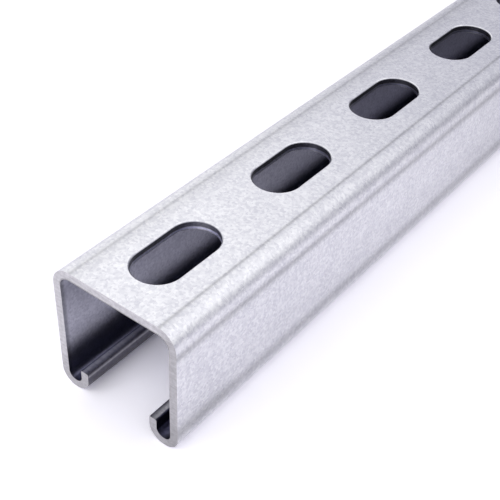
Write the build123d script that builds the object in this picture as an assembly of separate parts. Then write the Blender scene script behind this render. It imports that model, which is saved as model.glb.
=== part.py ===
"""Slotted strut channel: one roll-formed length of galvanised sheet, open side down, slots in the back.

Millimetres. X across the channel, Y along it, Z up. The origin is at the middle of the length and width,
on the plane that the two rolled flanges stand on.
"""
from build123d import *
import os

# Section
width = 41.3
height = 41.3
sheet = 2.5
back_bend_r = 6.0
flange = 9.65
flange_flat = 0.25
lip_height = 7.5
lip_edge_r = 0.4

# Length and slot pattern
length = 1000.0
slot_pitch = 50.0
slot_length = 28.5
slot_width = 14.5
slot_edge_break = 0.35
end_to_first_slot = 23.75
end_land_min = 5.0

NODE = "strut_channel"
TOLERANCE = 0.01

# What follows from those: each flange is two bends with a narrow flat between, and the mouth is what they leave
hook_bend_r = (flange - flange_flat) / 2
mouth = width - 2 * flange


def corner_pair(x, z):
    """The same corner on the right and the left of the section."""
    return [(x, z), (-x, z)]


def section_corners():
    """Right half of the sheet's outline as sharp corners, down the outside, round the hook and up the inside."""
    outer = width / 2
    inner = outer - sheet
    lip_out = mouth / 2
    lip_in = lip_out + sheet
    return {
        "back_outer": (outer, height),
        "hook_wall_outer": (outer, 0),
        "hook_lip_outer": (lip_out, 0),
        "lip_end_mouth": (lip_out, lip_height),
        "lip_end_pocket": (lip_in, lip_height),
        "hook_lip_inner": (lip_in, sheet),
        "hook_wall_inner": (inner, sheet),
        "back_inner": (inner, height - sheet),
    }


def corner_radii():
    """Bend radius at each corner: outer bends as stated, inner bends one sheet thickness tighter."""
    hook_inner_r = hook_bend_r - sheet
    return {
        "back_outer": back_bend_r,
        "hook_wall_outer": hook_bend_r,
        "hook_lip_outer": hook_bend_r,
        "lip_end_mouth": lip_edge_r,
        "lip_end_pocket": lip_edge_r,
        "hook_lip_inner": hook_inner_r,
        "hook_wall_inner": hook_inner_r,
        "back_inner": back_bend_r - sheet,
    }


def rolled_section():
    """The closed C section with turned-up lips, every bend at its radius, drawn in the XZ plane."""
    corners = section_corners()
    right = list(corners.values())
    left = [(-x, z) for x, z in reversed(right)]
    with BuildSketch(Plane.XZ) as sketch:
        with BuildLine():
            Polyline(*right, *left, close=True)
        make_face()
        for name, radius in corner_radii().items():
            found = [nearest_vertex(sketch, x, z) for x, z in corner_pair(*corners[name])]
            fillet(found, radius=radius)
    return sketch.sketch


def nearest_vertex(sketch, x, z):
    """The vertex of the section at a named sharp corner."""
    return sketch.vertices().sort_by_distance((x, z, 0))[0]


def slot_centres():
    """Distances along Y of the slot centres, at one pitch, for every slot that fits whole."""
    first = -length / 2 + end_to_first_slot
    last_allowed = length / 2 - slot_length / 2 - end_land_min
    count = int((last_allowed - first) / slot_pitch) + 1
    return [first + slot_pitch * index for index in range(count)]


def slot_tools():
    """One round-ended punch for each slot, through the back only."""
    with BuildPart() as punches:
        with BuildSketch(Plane.XY.offset(height)):
            with Locations(*[(0, y) for y in slot_centres()]):
                SlotOverall(slot_length, slot_width, rotation=90)
        extrude(amount=-2 * sheet)
    return punches.part


def slot_rims(channel):
    """The edges of the slots that lie on the back's outer face: two arcs and two straights for each slot."""
    on_back = channel.edges().filter_by_position(Axis.Z, height - TOLERANCE, height + TOLERANCE)
    arcs = on_back.filter_by(GeomType.CIRCLE)
    straights = on_back.filter_by(Axis.Y).filter_by(lambda edge: edge.length < slot_length)
    return arcs + straights


def strut_channel():
    """The whole channel: the section run along Y and punched, each slot's outer edge broken by the punch."""
    body = extrude(rolled_section(), amount=length / 2, both=True)
    punched = body - slot_tools()
    return chamfer(slot_rims(punched), slot_edge_break)


os.makedirs("parts", exist_ok=True)
channel = strut_channel()
export_step(channel, f"parts/{NODE}.step")
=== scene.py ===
import math

import bmesh
import bpy
from bpy.props import FloatProperty, FloatVectorProperty, IntProperty, PointerProperty
from mathutils import Matrix, Vector, noise


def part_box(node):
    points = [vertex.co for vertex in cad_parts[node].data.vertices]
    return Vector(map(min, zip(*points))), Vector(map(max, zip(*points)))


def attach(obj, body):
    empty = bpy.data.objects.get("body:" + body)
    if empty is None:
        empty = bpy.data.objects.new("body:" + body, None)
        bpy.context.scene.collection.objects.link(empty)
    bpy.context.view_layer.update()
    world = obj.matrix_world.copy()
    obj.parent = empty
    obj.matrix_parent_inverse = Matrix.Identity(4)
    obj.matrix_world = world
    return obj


bl_info = {
    "name": "Slotted strut channel",
    "version": (1, 0, 0),
    "blender": (4, 5, 0),
    "location": "3D View > Sidebar > Strut",
    "description": "Finishes a slotted strut channel in pre-galvanised steel and sets up its studio",
    "category": "Object",
}

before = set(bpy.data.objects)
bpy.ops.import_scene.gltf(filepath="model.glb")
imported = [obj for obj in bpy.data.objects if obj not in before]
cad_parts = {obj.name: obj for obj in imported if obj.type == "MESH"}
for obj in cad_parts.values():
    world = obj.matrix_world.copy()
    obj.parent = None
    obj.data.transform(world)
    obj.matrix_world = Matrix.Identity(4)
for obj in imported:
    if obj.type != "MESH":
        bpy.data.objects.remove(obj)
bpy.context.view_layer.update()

CHANNEL = "strut_channel"
MM = 0.001
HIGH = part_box(CHANNEL)[1]
HALF_WIDTH = HIGH.x
HALF_LENGTH = HIGH.y
TOP = HIGH.z

# Middle of the foot of the front end
FRONT_FOOT = Vector((0.0, -HALF_LENGTH, 0.0))

# The punching burr: steps round its two ends together, and cuts along its straights
BURR_STEPS = 48
BURR_CUTS = 12
# How far it is rooted in the sheet, and how far out from the slot's wall it starts
BURR_ROOT = 0.08 * MM
BURR_CLEARANCE = 0.02 * MM
# How ragged it hangs, as shares of its height: the mean, the spread, the least and the most
BURR_MEAN = 0.65
BURR_SPREAD = 0.55
BURR_LEAST = 0.1
BURR_MOST = 1.2

# Noise scales per metre, along x, y and z where there are three
BURR_TEAR_SCALE = 900.0
WARP_SCALE = 700.0
SPECKLE_SCALE = 2600.0
CLOUD_SCALE = 160.0
DRAWN_SCALE = (1500.0, 9.0, 1500.0)
SAW_LINE_SCALE = (260.0, 1.0, 3400.0)
CUT_BLOTCH_SCALE = 900.0
TORN_EDGE_SCALE = 420.0
# How far the warp moves the spangle's grains at most, in metres
WARP_REACH = (0.0009, 0.0009, 0.0009)

# What the spangle's shade is made of: grains, speckle, cloud and drawn streaks, less an offset
GRAIN_SHARE = 0.5
SPECKLE_SHARE = 0.35
CLOUD_SHARE = 0.35
DRAWN_SHARE = 0.22
SHADE_OFFSET = 0.1

# Tone of the sawn metal: saw lines, blotches and a plain level
SAW_LINE_SHARE = 0.50
BLOTCH_SHARE = 0.60
CUT_LEVEL = 0.48

# A slot's wall: how deep the torn break starts, as a share of the sheet and before its edge is made ragged,
# the tone of the sheared band and of the break, and how much paler both are in the first and the last slot,
# where the paler tone is a painted highlight
BREAK_STARTS = 0.62
SHEARED_TONE = 0.15
BREAK_TONE = 0.65
END_SLOT_PAINTED_LIGHT = 1.55

# Share of the sheet's thickness at which its inner skin starts
SKIN_STARTS = 0.76

# Bump of the spangle and the saw lines
RELIEF_DEPTH = 0.05 * MM
RELIEF_STRENGTH = 0.25

# The dome by direction, X to the right, Y to the far end and Z up: from, to, level at from, level at to
DOME_FAR = (0.56, 0.90, 1.0, 0.50)
DOME_RIGHT = (-0.1, 0.5, 1.0, 1.12)
DOME_TOP = (0.80, 1.0, 1.0, 0.72)
# Its dip: the height at which it is gone, where it sets in to the right, and its growth to the far end
DIP_HEIGHT = 0.60
DIP_RIGHT = (-0.3, 0.3)
DIP_FAR = (0.78, 0.93, 1.0, 1.35)
# Levels of the dome between which the dim tint goes over to white
TINT_LEVELS = (0.45, 1.0)

# The floor's mirrored light: where it fades, from the front end, and where and how far it is dimmed beneath
# the channel, from the middle
GLOW_FADE = (0.12, 0.27)
DIMMED_FROM = (6.5 * MM, 10.5 * MM)
DIMMED_BY = 0.85

# Gap between the flanges and the floor
FLOOR_GAP = 0.02 * MM

# The softbox in metres: its middle and its target, from the foot of the front end, and its two sides
KEY_PLACE = Vector((-0.25, -0.9, 1.15))
KEY_TARGET = Vector((0.0, 0.05, 0.0))
KEY_SIZE = (1.3, 1.3)

# The camera's sensor in millimetres, and where its view begins in metres
SENSOR_WIDTH = 36.0
CLIP_START = 0.005

WHITE = (1.0, 1.0, 1.0, 1.0)
BLACK = (0.0, 0.0, 0.0, 1.0)


# ---------------------------------------------------------------- settings


def length_property(name, description, default):
    """A length in metres that can't be negative."""
    return FloatProperty(name=name, description=description, default=default, min=0.0, unit="LENGTH")


def colour_property(name, description, default):
    """A linear colour."""
    return FloatVectorProperty(
        name=name, description=description, default=default, size=3, min=0.0, max=1.0, subtype="COLOR")


def level_property(name, description, default, lowest=0.0):
    """A plain number with a lowest value."""
    return FloatProperty(name=name, description=description, default=default, min=lowest)


def share_property(name, description, default):
    """A share, from nothing to all."""
    return FloatProperty(
        name=name, description=description, default=default, min=0.0, max=1.0, subtype="FACTOR")


def angle_property(name, description, degrees):
    """An angle, stated in degrees."""
    return FloatProperty(name=name, description=description, default=math.radians(degrees), subtype="ANGLE")


class StrutFinish(bpy.types.PropertyGroup):
    """Sizes and colours of the galvanised finish, with tints of painted shade for the inside, the lips and
    the slot walls.
    """

    zinc_dark: colour_property("Zinc, dark grains", "Darkest grains of the spangle", (0.58, 0.58, 0.65))
    zinc_light: colour_property("Zinc, light grains", "Lightest grains of the spangle", (0.97, 0.97, 1.0))
    bare_steel: colour_property("Cut steel", "Sawn and sheared faces", (0.61, 0.60, 0.625))
    grain: length_property("Grain", "Size of one spangle grain", 0.7 * MM)
    back_bend: length_property("Back bend", "Outer radius of the two bends beside the back", 6.0 * MM)
    hook_bend: length_property("Hook bend", "Outer radius of the flange bends", 4.7 * MM)
    sheet: length_property("Sheet", "Thickness of the sheet", 2.5 * MM)
    mouth: length_property("Mouth", "Clear width between the lips", 22.0 * MM)
    lip_height: length_property("Lip height", "Height of the turned-up lips", 7.5 * MM)
    # The inside tint is partly duller zinc and partly painted shade of the enclosed channel
    inside: colour_property(
        "Inside tint", "How much duller and bluer the inside of the channel is", (0.90, 0.90, 0.98))
    # The pocket tint is painted shade, low down inside the channel, above and behind the lips
    pocket_shade: colour_property(
        "Pocket tint", "Tint of the inside low down, above and behind the lips", (0.24, 0.24, 0.33))
    # The deep tint is painted shade: the inside darkens further in from the open ends
    shade_reach: length_property(
        "Shade reach", "How far in from the ends the inside has its full further tint", 160.0 * MM)
    deep: colour_property("Deep tint", "Further tint of the inside away from the ends", (0.67, 0.67, 0.74))
    # The lip tint is partly the dull slit edge and partly painted shade on the lips
    lip_dullness_and_shade: colour_property("Lip tint", "How much duller the slit edges and lips are", (0.145, 0.14, 0.165))
    # The punched tint is a bluish painted shade on the slot walls
    punched: colour_property("Punched tint", "Tint of the punched slot walls", (0.88, 0.88, 0.98))
    slot_width: length_property("Slot width", "Width of the punched slots", 14.5 * MM)
    slot_length: length_property(
        "Slot length", "Length of the punched slots over their round ends", 28.5 * MM)
    slot_pitch: length_property("Slot pitch", "Distance between slot centres", 50.0 * MM)
    first_slot: length_property("First slot", "Front end to the middle of the first slot", 23.75 * MM)
    slot_count: IntProperty(name="Slots", description="How many slots the back has", default=20, min=1)
    burr_height: length_property("Burr height", "How far the punching burr hangs below the back", 0.35 * MM)
    burr_width: length_property(
        "Burr width", "Width of the punching burr where it meets the sheet", 0.45 * MM)
    burr_steel: colour_property("Burr steel", "Torn steel of the punching burr", (0.42, 0.42, 0.45))
    roller_offset: length_property("Roller offset", "How far the roll marks sit off the middle", 0.4 * MM)
    roughness: share_property("Roughness", "Roughness of the zinc", 0.30)


class StrutStudio(bpy.types.PropertyGroup):
    """Camera, lamp, dome and floor."""

    floor: colour_property("Floor", "Colour of the floor", (0.86, 0.848, 0.895))
    floor_seen: level_property(
        "Floor, seen", "How much paler the floor is where the camera sees it", 1.6, 1.0)
    floor_mirrored: level_property("Floor, mirrored", "Light the floor adds where metal mirrors it", 0.27)
    far_light: share_property(
        "Far light", "Share of the mirrored floor light that is left towards the far end", 0.40)
    floor_size: length_property("Floor size", "Side of the square floor", 12.0)
    camera_place: FloatVectorProperty(
        name="Camera place", description="Camera from the middle of the foot of the front end",
        default=(0.129994, -0.122516, 0.203779), size=3, unit="LENGTH")
    camera_turn: angle_property("Camera turn", "Azimuth of the view", 36.155)
    camera_tilt: angle_property("Camera tilt", "How far the view looks down", 39.556)
    camera_roll: angle_property("Camera roll", "Turn of the picture about the view", 2.760)
    camera_lens: FloatProperty(
        name="Lens", description="Focal length on a 36 mm sensor", default=71.78, min=1.0, unit="CAMERA")
    world_level: level_property("World", "Level of the soft light all round", 0.75)
    mirrored_level: level_property("World, mirrored", "Level of the dome where metal mirrors it", 1.19)
    horizon_dip: share_property("Horizon dip", "How much dimmer the dome is low on the right", 0.38)
    dim_tint: colour_property("Dim tint", "Tint of the dimmer parts of the dome", (0.90, 0.90, 1.0))
    key_power: FloatProperty(
        name="Key", description="Power of the large softbox before and above the front end",
        default=7.0, min=0.0, unit="POWER")


# ---------------------------------------------------------------- node helpers


class Nodes:
    """A short way to add and join shader nodes."""

    def __init__(self, tree):
        self.tree = tree

    def add(self, kind, **values):
        """A new node with its settings."""
        node = self.tree.nodes.new(kind)
        for key, value in values.items():
            setattr(node, key, value)
        return node

    def join(self, source, target):
        """Links an output to an input."""
        self.tree.links.new(source, target)

    def feed(self, socket, value):
        """Links a socket, or sets a plain number or colour."""
        if isinstance(value, bpy.types.NodeSocket):
            self.join(value, socket)
        else:
            socket.default_value = value

    def math(self, operation, a, b=0.0, clamp=False):
        """The result of a sum on one or two numbers."""
        node = self.add("ShaderNodeMath", operation=operation, use_clamp=clamp)
        self.feed(node.inputs[0], a)
        self.feed(node.inputs[1], b)
        return node.outputs[0]

    def ramp(self, value, low, high, to_low=0.0, to_high=1.0):
        """Smooth step of value from low to high."""
        node = self.add("ShaderNodeMapRange", interpolation_type="SMOOTHSTEP")
        for socket, number in zip(node.inputs, (value, low, high, to_low, to_high)):
            self.feed(socket, number)
        return node.outputs[0]

    def blend(self, factor, a, b, mode="MIX"):
        """Mix of two colours."""
        node = self.add("ShaderNodeMix", data_type="RGBA", blend_type=mode)
        self.feed(node.inputs[0], factor)
        self.feed(node.inputs[6], a)
        self.feed(node.inputs[7], b)
        return node.outputs[2]

    def scaled(self, colour, factor):
        """A colour times a number."""
        node = self.add("ShaderNodeVectorMath", operation="SCALE")
        self.feed(node.inputs[0], colour if isinstance(colour, bpy.types.NodeSocket) else colour[:3])
        self.feed(node.inputs["Scale"], factor)
        return node.outputs[0]

    def bell(self, value, centre, width):
        """A smooth bump of one at the centre, gone at about twice the width."""
        away = self.math("DIVIDE", self.math("SUBTRACT", value, centre), width)
        return self.math("POWER", math.e, self.math("MULTIPLY", self.math("MULTIPLY", away, away), -1.0))

    def rounded(self, a, b, radius):
        """Depth behind two faces that meet in a bend, from the depth behind each."""
        short_a = self.math("MAXIMUM", self.math("SUBTRACT", radius, a), 0.0)
        short_b = self.math("MAXIMUM", self.math("SUBTRACT", radius, b), 0.0)
        square_a = self.math("MULTIPLY", short_a, short_a)
        square_b = self.math("MULTIPLY", short_b, short_b)
        return self.math("SUBTRACT", radius, self.math("SQRT", self.math("ADD", square_a, square_b)))

    def axes(self, vector):
        """The three coordinates of a vector."""
        node = self.add("ShaderNodeSeparateXYZ")
        self.join(vector, node.inputs[0])
        return node.outputs

    def group(self, tree, vector):
        """A placed node group that reads the vector."""
        node = self.add("ShaderNodeGroup", node_tree=tree)
        self.join(vector, node.inputs["Vector"])
        return node

    def place(self, vector, scale):
        """A vector scaled along each axis."""
        node = self.add("ShaderNodeMapping")
        self.join(vector, node.inputs["Vector"])
        node.inputs["Scale"].default_value = scale
        return node.outputs[0]

    def noise(self, vector, scale, detail=2.0, roughness=0.5):
        """Soft noise over a vector."""
        node = self.add("ShaderNodeTexNoise")
        self.join(vector, node.inputs["Vector"])
        self.feed(node.inputs["Scale"], scale)
        node.inputs["Detail"].default_value = detail
        node.inputs["Roughness"].default_value = roughness
        return node.outputs["Fac"]


def rgba(colour):
    """A colour property as the four numbers a socket takes."""
    return (*colour, 1.0)


def new_group(name, inputs, outputs):
    """An empty shader node group with named sockets."""
    group = bpy.data.node_groups.new(name, "ShaderNodeTree")
    for socket_name, kind, default in inputs:
        socket = group.interface.new_socket(name=socket_name, in_out="INPUT", socket_type=kind)
        if default is not None:
            socket.default_value = default
    for socket_name, kind in outputs:
        group.interface.new_socket(name=socket_name, in_out="OUTPUT", socket_type=kind)
    n = Nodes(group)
    return n, n.add("NodeGroupInput").outputs, n.add("NodeGroupOutput").inputs


VECTOR, FLOAT = "NodeSocketVector", "NodeSocketFloat"
SPANGLE = "zinc_spangle"


def spangle_group():
    """Fine zinc spangle: small flat grains of differing shade, broken up by finer speckle."""
    n, given, out = new_group(
        SPANGLE,
        [("Vector", VECTOR, None), ("Grain Scale", FLOAT, 900.0)],
        [("Shade", FLOAT), ("Relief", FLOAT)],
    )
    warp = n.add("ShaderNodeTexNoise")
    n.join(given["Vector"], warp.inputs["Vector"])
    warp.inputs["Scale"].default_value = WARP_SCALE
    warp.inputs["Detail"].default_value = 1.0
    bent = n.add("ShaderNodeVectorMath", operation="MULTIPLY_ADD")
    n.join(warp.outputs["Color"], bent.inputs[0])
    bent.inputs[1].default_value = WARP_REACH
    n.join(given["Vector"], bent.inputs[2])
    cells = n.add("ShaderNodeTexVoronoi", feature="SMOOTH_F1")
    n.join(bent.outputs[0], cells.inputs["Vector"])
    n.join(given["Grain Scale"], cells.inputs["Scale"])
    cells.inputs["Smoothness"].default_value = 0.35
    split = n.add("ShaderNodeSeparateColor")
    n.join(cells.outputs["Color"], split.inputs[0])
    fine = n.noise(given["Vector"], SPECKLE_SCALE, 3.0, 0.6)
    cloud = n.noise(given["Vector"], CLOUD_SCALE, 2.0)
    shade = n.math("MULTIPLY", split.outputs[0], GRAIN_SHARE)
    shade = n.math("ADD", shade, n.math("MULTIPLY", fine, SPECKLE_SHARE))
    shade = n.math("ADD", shade, n.math("MULTIPLY", cloud, CLOUD_SHARE))
    drawn = n.noise(n.place(given["Vector"], DRAWN_SCALE), 1.0, 3.0)
    shade = n.math("ADD", shade, n.math("MULTIPLY", n.math("SUBTRACT", drawn, 0.5), DRAWN_SHARE))
    n.join(n.math("SUBTRACT", shade, SHADE_OFFSET, clamp=True), out["Shade"])
    relief = n.math("ADD", n.math("MULTIPLY", split.outputs[1], 0.5), n.math("MULTIPLY", fine, 0.5))
    n.join(relief, out["Relief"])
    return n.tree


def sawn_end_group(finish):
    """The two sawn ends: their mask, and a shade with saw lines and blotches, darker low down and on the
    right wall, with painted shade on the inner skin under the back.
    """
    n, given, out = new_group(
        "sawn_end",
        [("Vector", VECTOR, None), ("Depth", FLOAT, 0.0)],
        [("Mask", FLOAT), ("Shade", FLOAT), ("Relief", FLOAT)],
    )
    xyz = n.axes(given["Vector"])
    along = n.math("ABSOLUTE", xyz["Y"])
    n.join(n.ramp(along, HALF_LENGTH - 0.06 * MM, HALF_LENGTH - 0.02 * MM), out["Mask"])
    lines = n.noise(n.place(given["Vector"], SAW_LINE_SCALE), 1.0, 2.0)
    blotch = n.noise(given["Vector"], CUT_BLOTCH_SCALE, 2.0)
    # Painted shade on the cut's inner skin, only under the back
    skin = n.ramp(given["Depth"], SKIN_STARTS * finish.sheet, 0.97 * finish.sheet, 0.0, 0.42)
    by_the_back = n.ramp(xyz["Z"], TOP - 1.3 * finish.back_bend, TOP - 0.6 * finish.back_bend)
    skin = n.math("MULTIPLY", skin, by_the_back)
    skin = n.math("SUBTRACT", 1.0, skin)
    rim = n.ramp(given["Depth"], 0.0, 0.8 * MM, 1.06, 1.0)
    tone = n.math("ADD", n.math("MULTIPLY", lines, SAW_LINE_SHARE), n.math("MULTIPLY", blotch, BLOTCH_SHARE))
    tone = n.math("ADD", tone, CUT_LEVEL)
    # Darker towards the bottom, and on the right wall
    tone = n.math("MULTIPLY", tone, n.ramp(xyz["Z"], 3.0 * MM, 14.0 * MM, 0.80, 1.0))
    to_the_right = n.ramp(xyz["X"], HALF_WIDTH - 1.3 * finish.back_bend, HALF_WIDTH - 1.5 * MM, 1.0, 0.80)
    tone = n.math("MULTIPLY", tone, to_the_right)
    tone = n.math("MULTIPLY", tone, n.math("MULTIPLY", skin, rim))
    n.join(tone, out["Shade"])
    n.join(lines, out["Relief"])
    return n.tree


def section_group(finish):
    """Where a point lies in the rolled section: sheet depth, inside, lips, ends, roll marks and painted
    bands.
    """
    n, given, out = new_group(
        "rolled_section",
        [("Vector", VECTOR, None)],
        [
            ("Depth", FLOAT), ("Inside", FLOAT), ("Low Shade", FLOAT), ("Deep Shade", FLOAT),
            ("Edge Shade", FLOAT), ("Lips", FLOAT), ("Roll Marks And Painted Bands", FLOAT),
        ],
    )
    xyz = n.axes(given["Vector"])
    across = n.math("ABSOLUTE", xyz["X"])
    up = xyz["Z"]
    from_side = n.math("SUBTRACT", HALF_WIDTH, across)
    from_top = n.math("SUBTRACT", TOP, up)
    above_lip = n.math("SUBTRACT", finish.lip_height, up)
    half_mouth = finish.mouth / 2
    over_lip = n.math("MULTIPLY", above_lip, -1.0)
    from_mouth = n.math("MAXIMUM", n.math("SUBTRACT", across, half_mouth), over_lip)
    depth = n.rounded(from_side, from_top, finish.back_bend)
    depth = n.math("MINIMUM", depth, n.rounded(from_side, up, finish.hook_bend))
    depth = n.math("MINIMUM", depth, n.rounded(from_mouth, up, finish.hook_bend))
    n.join(depth, out["Depth"])
    n.join(n.ramp(depth, SKIN_STARTS * finish.sheet, 0.92 * finish.sheet), out["Inside"])
    # Where the pocket's painted shade sets in, low down inside
    n.join(n.ramp(up, 2.0 * finish.lip_height, 0.8 * finish.lip_height), out["Low Shade"])
    along = n.math("ABSOLUTE", xyz["Y"])
    # Painted shade of the inside, growing away from the open ends
    deep = n.ramp(along, HALF_LENGTH - 0.5 * finish.shade_reach, HALF_LENGTH - finish.shade_reach)
    n.join(deep, out["Deep Shade"])
    n.join(n.ramp(along, HALF_LENGTH - 1.8 * MM, HALF_LENGTH - 0.5 * MM, 1.0, 0.60), out["Edge Shade"])

    # Lips: where the lip tint's painted shade goes, less of it on a line along the mouth side and on the
    # lip's top
    lips = n.ramp(across, half_mouth + 1.12 * finish.sheet, half_mouth + 1.02 * finish.sheet)
    lips = n.math("MULTIPLY", lips, n.ramp(above_lip, -0.2 * MM, -0.1 * MM))
    lips = n.math("MULTIPLY", lips, n.ramp(up, 0.3 * MM, 2.0 * MM))
    # A lighter line below the lip's top on the mouth side: a painted highlight
    arris = n.bell(above_lip, 1.1 * MM, 0.40 * MM)
    by_the_mouth = n.ramp(across, half_mouth + 0.5 * MM, half_mouth + 0.1 * MM, 0.0, 0.31)
    arris = n.math("MULTIPLY", arris, by_the_mouth)
    # Less of the painted shade on the lip's top face
    lighter_lip_top = n.ramp(across, half_mouth + 0.1 * MM, half_mouth + 1.7 * MM, 0.0, 0.42)
    lighter_lip_top = n.math("MULTIPLY", lighter_lip_top, n.ramp(above_lip, 0.5 * MM, 0.3 * MM))
    n.join(n.math("MULTIPLY", lips, n.math("SUBTRACT", 1.0, n.math("ADD", arris, lighter_lip_top))), out["Lips"])

    line = HALF_WIDTH - finish.back_bend + 0.1 * MM
    on_top = n.ramp(from_top, 1.2 * MM, 0.6 * MM)
    on_side = n.ramp(from_side, 1.2 * MM, 0.6 * MM)
    on_bend = n.ramp(from_side, 2.4 * MM, 1.6 * MM)
    # Masks for bands of painted reflection, set by place along the channel: near the ends and further in
    end_share = n.ramp(along, HALF_LENGTH - 28.0 * MM, HALF_LENGTH - 14.0 * MM)
    painted_by_the_end = n.math("MULTIPLY", on_side, end_share)
    inner_share = n.ramp(along, HALF_LENGTH - 240.0 * MM, HALF_LENGTH - 100.0 * MM, 1.0, 0.4)
    painted_further_in = n.math("MULTIPLY", on_side, inner_share)
    # Painted shade across the top, darker towards its left edge
    left_share = n.ramp(xyz["X"], -line - 2.2 * MM, -line + 0.3 * MM, 0.35, 1.0)
    beside = n.math("MULTIPLY", on_top, left_share)
    marks = 0.0
    # Each row is one darker band: coordinate, centre, width, strength and mask. The rows masked beside the
    # left roll line, near the ends and further in are painted reflection; the others are roll marks
    for place, centre, width, strength, where in (
        (xyz["X"], finish.roller_offset + line, 0.50 * MM, 0.34, on_top),
        (xyz["X"], finish.roller_offset - line, 0.50 * MM, 0.17, on_top),
        (xyz["X"], -line, 4.0 * MM, 0.15, beside),
        (up, TOP - finish.back_bend - 0.95 * MM, 1.30 * MM, 0.35, on_side),
        (up, finish.hook_bend + 1.9 * MM, 2.5 * MM, 0.33, on_side),
        (up, finish.hook_bend + 4.0 * MM, 3.0 * MM, 0.14, painted_by_the_end),
        (up, finish.hook_bend + 8.0 * MM, 6.0 * MM, 0.12, painted_further_in),
        (up, TOP - finish.back_bend - 2.3 * MM, 1.0 * MM, 0.13, painted_further_in),
        (up, TOP - 0.47 * finish.back_bend, 0.9 * MM, 0.13, on_bend),
    ):
        mark = n.math("MULTIPLY", n.math("MULTIPLY", n.bell(place, centre, width), strength), where)
        marks = n.math("ADD", mark, marks)
    n.join(marks, out["Roll Marks And Painted Bands"])
    return n.tree


def slot_wall_group(finish):
    """Shade of the punched slot walls: a dark sheared band above a paler break, both lifted by a painted
    highlight in the end slots.
    """
    n, given, out = new_group("punched_wall", [("Vector", VECTOR, None)], [("Shade", FLOAT), ("Wall", FLOAT)])
    xyz = n.axes(given["Vector"])
    across = n.math("ABSOLUTE", xyz["X"])
    from_top = n.math("SUBTRACT", TOP, xyz["Z"])
    ragged = n.noise(given["Vector"], TORN_EDGE_SCALE, 2.0)
    edge = n.math("ADD", n.math("MULTIPLY", ragged, 0.5 * MM), BREAK_STARTS * finish.sheet)
    near = n.ramp(across, finish.slot_width / 2 + 1.5 * MM, finish.slot_width / 2 + 1.0 * MM)
    wall = n.math("MULTIPLY", near, n.ramp(from_top, 0.06 * MM, 0.42 * MM))
    wall = n.math("MULTIPLY", wall, n.ramp(from_top, finish.sheet, 0.97 * finish.sheet))
    over = n.math("DIVIDE", n.math("SUBTRACT", from_top, edge), 0.25 * MM)
    band = n.ramp(over, -1.0, 1.0, SHEARED_TONE, BREAK_TONE)
    along = n.math("ABSOLUTE", xyz["Y"])
    pitch = finish.slot_pitch
    # Painted highlight: the walls of the first and the last slot are paler
    painted_by_the_end = n.ramp(along, HALF_LENGTH - pitch, HALF_LENGTH - 0.75 * pitch, 1.0, END_SLOT_PAINTED_LIGHT)
    band = n.math("MULTIPLY", band, painted_by_the_end)
    n.join(n.math("ADD", n.math("MULTIPLY", wall, n.math("SUBTRACT", band, 1.0)), 1.0), out["Shade"])
    n.join(wall, out["Wall"])
    return n.tree


def shared_spangle():
    """The spangle group, built the first time that it is asked for."""
    return bpy.data.node_groups.get(SPANGLE) or spangle_group()


def torn_steel_material(finish):
    """Bare torn edge left by the punch, dull and uneven."""
    material = bpy.data.materials.new("torn_punched_steel")
    material.use_nodes = True
    tree = material.node_tree
    tree.nodes.clear()
    n = Nodes(tree)
    spangle = n.group(shared_spangle(), n.add("ShaderNodeTexCoord").outputs["Object"])
    spangle.inputs["Grain Scale"].default_value = 3.0 / finish.grain
    shader = n.add("ShaderNodeBsdfPrincipled")
    steel = n.scaled(rgba(finish.burr_steel), n.math("ADD", spangle.outputs["Shade"], 0.5))
    n.join(steel, shader.inputs["Base Color"])
    shader.inputs["Metallic"].default_value = 1.0
    rough = n.math("ADD", n.math("MULTIPLY", spangle.outputs["Relief"], 0.2), 0.35)
    n.join(rough, shader.inputs["Roughness"])
    n.join(shader.outputs[0], n.add("ShaderNodeOutputMaterial").inputs["Surface"])
    return material


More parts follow.
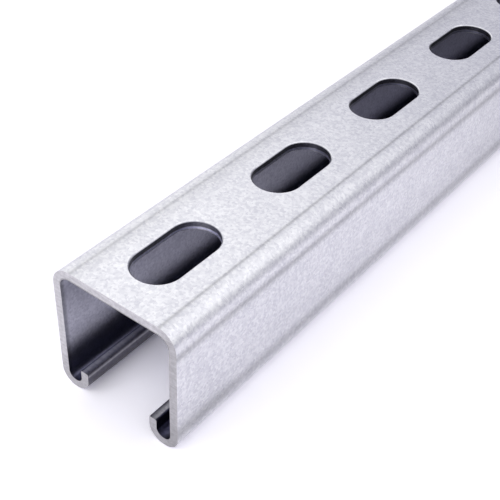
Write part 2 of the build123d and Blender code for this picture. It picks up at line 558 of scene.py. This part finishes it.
def galvanised_material(finish):
    """Pre-galvanised sheet with sawn ends and punched slot walls, and painted shade inside, on the lips and
    in bands.
    """
    material = bpy.data.materials.new("galvanised_steel_spangle")
    material.use_nodes = True
    tree = material.node_tree
    tree.nodes.clear()
    n = Nodes(tree)
    place = n.add("ShaderNodeTexCoord").outputs["Object"]
    spangle = n.group(shared_spangle(), place)
    spangle.inputs["Grain Scale"].default_value = 1.0 / finish.grain
    section = n.group(section_group(finish), place)
    slot = n.group(slot_wall_group(finish), place)
    ends = n.group(sawn_end_group(finish), place)
    n.join(section.outputs["Depth"], ends.inputs["Depth"])

    zinc = n.blend(spangle.outputs["Shade"], rgba(finish.zinc_dark), rgba(finish.zinc_light))
    # Roll marks and bands of painted reflection darken the zinc
    zinc = n.blend(section.outputs["Roll Marks And Painted Bands"], zinc, BLACK)
    # The inside: duller zinc with painted shade, darker still low down, away from the ends and next to the
    # cuts
    dull = n.blend(section.outputs["Low Shade"], rgba(finish.inside), rgba(finish.pocket_shade))
    dull = n.blend(section.outputs["Deep Shade"], dull, n.blend(1.0, dull, rgba(finish.deep), "MULTIPLY"))
    dull = n.scaled(n.blend(1.0, zinc, dull, "MULTIPLY"), section.outputs["Edge Shade"])
    zinc = n.blend(section.outputs["Inside"], zinc, dull)
    zinc = n.blend(section.outputs["Lips"], zinc, n.blend(1.0, zinc, rgba(finish.lip_dullness_and_shade), "MULTIPLY"))
    # Bluish painted shade on the slot walls
    zinc = n.blend(slot.outputs["Wall"], zinc, n.blend(1.0, zinc, rgba(finish.punched), "MULTIPLY"))
    zinc = n.scaled(zinc, slot.outputs["Shade"])
    steel = n.scaled(rgba(finish.bare_steel), ends.outputs["Shade"])
    colour = n.blend(ends.outputs["Mask"], zinc, steel)

    saw_lines = n.math("MULTIPLY", ends.outputs["Relief"], ends.outputs["Mask"])
    height = n.math("ADD", spangle.outputs["Relief"], saw_lines)
    bump = n.add("ShaderNodeBump")
    bump.inputs["Strength"].default_value = RELIEF_STRENGTH
    bump.inputs["Distance"].default_value = RELIEF_DEPTH
    n.join(height, bump.inputs["Height"])

    shader = n.add("ShaderNodeBsdfPrincipled")
    n.join(colour, shader.inputs["Base Color"])
    shader.inputs["Metallic"].default_value = 1.0
    rough = n.math("ADD", n.math("MULTIPLY", spangle.outputs["Relief"], 0.12), finish.roughness - 0.06)
    cut = n.math("MAXIMUM", ends.outputs["Mask"], slot.outputs["Wall"])
    worked = n.math("MAXIMUM", section.outputs["Inside"], cut)
    rough = n.math("ADD", rough, n.math("MULTIPLY", worked, 0.12))
    n.join(rough, shader.inputs["Roughness"])
    n.join(bump.outputs[0], shader.inputs["Normal"])
    output = n.add("ShaderNodeOutputMaterial")
    n.join(shader.outputs[0], output.inputs["Surface"])
    return material


# ---------------------------------------------------------------- operators


class STRUT_OT_finish_channel(bpy.types.Operator):
    """Gives the channel its galvanised finish."""

    bl_idname = "strut.finish_channel"
    bl_label = "Finish the channel"

    def execute(self, context):
        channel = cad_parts.get(CHANNEL)
        if channel is None:
            raise RuntimeError("the channel's node is missing")
        channel.data.materials[0] = galvanised_material(context.scene.strut_finish)
        return {"FINISHED"}


def slot_centres(finish):
    """Where the slots stand along the channel."""
    return [-HALF_LENGTH + finish.first_slot + finish.slot_pitch * k for k in range(finish.slot_count)]


def burr_ring(bm, finish):
    """One thin three-sided rim round a slot's lower edge: spun about the slot, then drawn out along it."""
    under = TOP - finish.sheet
    inner = finish.slot_width / 2 + BURR_CLEARANCE
    root = under + BURR_ROOT
    section = ((inner, root), (inner, under - finish.burr_height), (inner + finish.burr_width, root))
    start = Matrix.Rotation(math.pi / BURR_STEPS, 3, "Z")
    corners = [bm.verts.new(start @ Vector((radius, 0.0, height))) for radius, height in section]
    edges = [bm.edges.new((corners[k], corners[(k + 1) % 3])) for k in range(3)]
    bmesh.ops.spin(
        bm, geom=corners + edges, cent=(0.0, 0.0, 0.0), axis=(0.0, 0.0, 1.0), angle=2 * math.pi,
        steps=BURR_STEPS, use_merge=True, use_duplicate=False)
    bmesh.ops.remove_doubles(bm, verts=bm.verts, dist=0.001 * MM)
    straight = (finish.slot_length - finish.slot_width) / 2
    for vert in bm.verts:
        vert.co.y += math.copysign(straight, vert.co.y)
    along = [edge for edge in bm.edges if edge.calc_length() > straight]
    bmesh.ops.subdivide_edges(bm, edges=along, cuts=BURR_CUTS, use_grid_fill=True)


class STRUT_OT_add_slot_burrs(bpy.types.Operator):
    """Adds the fine burr that the punch leaves round the underside of every slot."""

    bl_idname = "strut.add_slot_burrs"
    bl_label = "Add the slot burrs"

    def execute(self, context):
        finish = context.scene.strut_finish
        bm = bmesh.new()
        burr_ring(bm, finish)
        ring = bm.verts[:] + bm.edges[:] + bm.faces[:]
        centres = slot_centres(finish)
        for centre in centres[1:]:
            copied = bmesh.ops.duplicate(bm, geom=ring)["geom"]
            moved = [item for item in copied if isinstance(item, bmesh.types.BMVert)]
            bmesh.ops.translate(bm, verts=moved, vec=(0.0, centre - centres[0], 0.0))
        bmesh.ops.translate(bm, verts=bm.verts, vec=(0.0, centres[0], 0.0))
        under = TOP - finish.sheet
        for vert in bm.verts:
            if vert.co.z < under:
                ragged = BURR_MEAN + BURR_SPREAD * noise.noise(vert.co * BURR_TEAR_SCALE)
                vert.co.z = under - finish.burr_height * min(max(ragged, BURR_LEAST), BURR_MOST)
        bmesh.ops.recalc_face_normals(bm, faces=bm.faces)
        mesh = bpy.data.meshes.new("slot_burrs")
        bm.to_mesh(mesh)
        bm.free()
        mesh.materials.append(torn_steel_material(finish))
        piece = bpy.data.objects.new("slot_burrs", mesh)
        context.scene.collection.objects.link(piece)
        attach(piece, "root")
        return {"FINISHED"}


def floor_material(studio):
    """Pale floor that takes the shadow. What is mirrored of it is dimmer far off and beneath the channel."""
    material = bpy.data.materials.new("studio_floor")
    material.use_nodes = True
    tree = material.node_tree
    tree.nodes.clear()
    n = Nodes(tree)
    path = n.add("ShaderNodeLightPath")
    mirrored = n.math("ADD", path.outputs["Is Glossy Ray"], path.outputs["Is Transmission Ray"], clamp=True)
    matt = n.add("ShaderNodeBsdfDiffuse")
    seen = tuple(channel * studio.floor_seen for channel in studio.floor)
    n.join(n.blend(path.outputs["Is Camera Ray"], rgba(studio.floor), rgba(seen)), matt.inputs["Color"])
    # The glow is painted light: the floor gives light only where metal mirrors it, less far off, and less
    # beneath the channel as painted shadow
    glow = n.add("ShaderNodeEmission")
    glow.inputs["Color"].default_value = rgba(studio.floor)
    xyz = n.axes(n.add("ShaderNodeTexCoord").outputs["Object"])
    near_glow = studio.floor_mirrored
    far_glow = studio.far_light * near_glow
    fade_start, fade_end = (distance - HALF_LENGTH for distance in GLOW_FADE)
    falloff = n.ramp(xyz["Y"], fade_start, fade_end, near_glow, far_glow)
    across = n.math("ABSOLUTE", xyz["X"])
    along = n.math("ABSOLUTE", xyz["Y"])
    off_the_middle = n.ramp(across, *DIMMED_FROM, 0.0, DIMMED_BY)
    under_the_side = n.ramp(across, HALF_WIDTH - 1.0 * MM, HALF_WIDTH - 5.0 * MM)
    beneath = n.math("MULTIPLY", off_the_middle, under_the_side)
    beneath = n.math("MULTIPLY", beneath, n.ramp(along, HALF_LENGTH, HALF_LENGTH - 8.0 * MM))
    falloff = n.math("MULTIPLY", falloff, n.math("SUBTRACT", 1.0, beneath))
    n.join(n.math("MULTIPLY", mirrored, falloff), glow.inputs["Strength"])
    both = n.add("ShaderNodeAddShader")
    n.join(matt.outputs[0], both.inputs[0])
    n.join(glow.outputs[0], both.inputs[1])
    output = n.add("ShaderNodeOutputMaterial")
    n.join(both.outputs[0], output.inputs["Surface"])
    return material


def add_floor(studio):
    """A square floor under the channel."""
    bpy.ops.mesh.primitive_plane_add(size=studio.floor_size, location=(0.0, 0.0, -FLOOR_GAP))
    floor = bpy.context.active_object
    floor.name = "studio_floor"
    floor.data.materials.append(floor_material(studio))


def add_area_light(name, place, target, size, power):
    """A white softbox that faces its target and isn't mirrored."""
    lamp = bpy.data.lights.new(name, "AREA")
    lamp.shape = "RECTANGLE"
    lamp.size, lamp.size_y = size
    lamp.energy = power
    holder = bpy.data.objects.new(name, lamp)
    bpy.context.scene.collection.objects.link(holder)
    holder.location = place
    holder.visible_glossy = False
    holder.rotation_euler = (target - place).to_track_quat("-Z", "Y").to_euler()


def set_world(studio):
    """A soft dome, dimmer to the far end, low on the right and at the top, and white to the camera."""
    world = bpy.data.worlds.new("studio_world")
    world.use_nodes = True
    tree = world.node_tree
    tree.nodes.clear()
    n = Nodes(tree)
    path = n.add("ShaderNodeLightPath")
    xyz = n.axes(n.add("ShaderNodeTexCoord").outputs["Generated"])
    dome = n.ramp(xyz["Y"], *DOME_FAR)
    dip = n.ramp(xyz["Z"], 0.0, DIP_HEIGHT, studio.horizon_dip, 0.0)
    dip = n.math("MULTIPLY", dip, n.ramp(xyz["X"], *DIP_RIGHT))
    dip = n.math("MULTIPLY", dip, n.ramp(xyz["Y"], *DIP_FAR))
    dome = n.math("MULTIPLY", dome, n.math("SUBTRACT", 1.0, dip))
    dome = n.math("MULTIPLY", dome, n.ramp(xyz["X"], *DOME_RIGHT))
    dome = n.math("MULTIPLY", dome, n.ramp(xyz["Z"], *DOME_TOP))
    glossy = n.math("ADD", path.outputs["Is Glossy Ray"], path.outputs["Is Transmission Ray"], clamp=True)
    extra = studio.mirrored_level - studio.world_level
    level = n.math("ADD", n.math("MULTIPLY", glossy, extra), studio.world_level)
    strength = n.math("MULTIPLY", dome, level)
    strength = n.math("MAXIMUM", strength, path.outputs["Is Camera Ray"])
    tint = n.blend(n.ramp(dome, *TINT_LEVELS), rgba(studio.dim_tint), WHITE)
    background = n.add("ShaderNodeBackground")
    n.join(n.blend(path.outputs["Is Camera Ray"], tint, WHITE), background.inputs["Color"])
    n.join(strength, background.inputs["Strength"])
    output = n.add("ShaderNodeOutputWorld")
    n.join(background.outputs[0], output.inputs["Surface"])
    bpy.context.scene.world = world


def add_camera(studio):
    """The camera at the front right corner, looking down along the channel."""
    data = bpy.data.cameras.new("studio_camera")
    data.sensor_width = SENSOR_WIDTH
    data.lens = studio.camera_lens
    data.clip_start = CLIP_START
    camera = bpy.data.objects.new("studio_camera", data)
    bpy.context.scene.collection.objects.link(camera)
    turn = Matrix.Rotation(studio.camera_turn, 4, "Z")
    tilt = Matrix.Rotation(math.pi / 2 - studio.camera_tilt, 4, "X")
    roll = Matrix.Rotation(studio.camera_roll, 4, "Z")
    place = FRONT_FOOT + Vector(studio.camera_place)
    camera.matrix_world = Matrix.Translation(place) @ turn @ tilt @ roll
    bpy.context.scene.camera = camera


class STRUT_OT_build_studio(bpy.types.Operator):
    """Adds the floor, the soft light, the world and the camera."""

    bl_idname = "strut.build_studio"
    bl_label = "Build the studio"

    def execute(self, context):
        studio = context.scene.strut_studio
        add_floor(studio)
        set_world(studio)
        place = FRONT_FOOT + KEY_PLACE
        target = FRONT_FOOT + KEY_TARGET
        add_area_light("key_softbox", place, target, KEY_SIZE, studio.key_power)
        add_camera(studio)
        context.scene.view_settings.view_transform = "Standard"
        return {"FINISHED"}


class STRUT_PT_panel(bpy.types.Panel):
    """The steps, in order."""

    bl_idname = "STRUT_PT_panel"
    bl_label = "Strut channel"
    bl_space_type = "VIEW_3D"
    bl_region_type = "UI"
    bl_category = "Strut"

    def draw(self, context):
        column = self.layout.column()
        column.operator(STRUT_OT_finish_channel.bl_idname)
        column.operator(STRUT_OT_add_slot_burrs.bl_idname)
        column.operator(STRUT_OT_build_studio.bl_idname)


CLASSES = (
    StrutFinish,
    StrutStudio,
    STRUT_OT_finish_channel,
    STRUT_OT_add_slot_burrs,
    STRUT_OT_build_studio,
    STRUT_PT_panel,
)


def register():
    for cls in CLASSES:
        bpy.utils.register_class(cls)
    bpy.types.Scene.strut_finish = PointerProperty(type=StrutFinish)
    bpy.types.Scene.strut_studio = PointerProperty(type=StrutStudio)


def unregister():
    del bpy.types.Scene.strut_studio
    del bpy.types.Scene.strut_finish
    for cls in reversed(CLASSES):
        bpy.utils.unregister_class(cls)


def main():
    """Registers the add-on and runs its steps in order."""
    register()
    bpy.ops.strut.finish_channel()
    bpy.ops.strut.add_slot_burrs()
    bpy.ops.strut.build_studio()


if __name__ == "__main__":
    main()
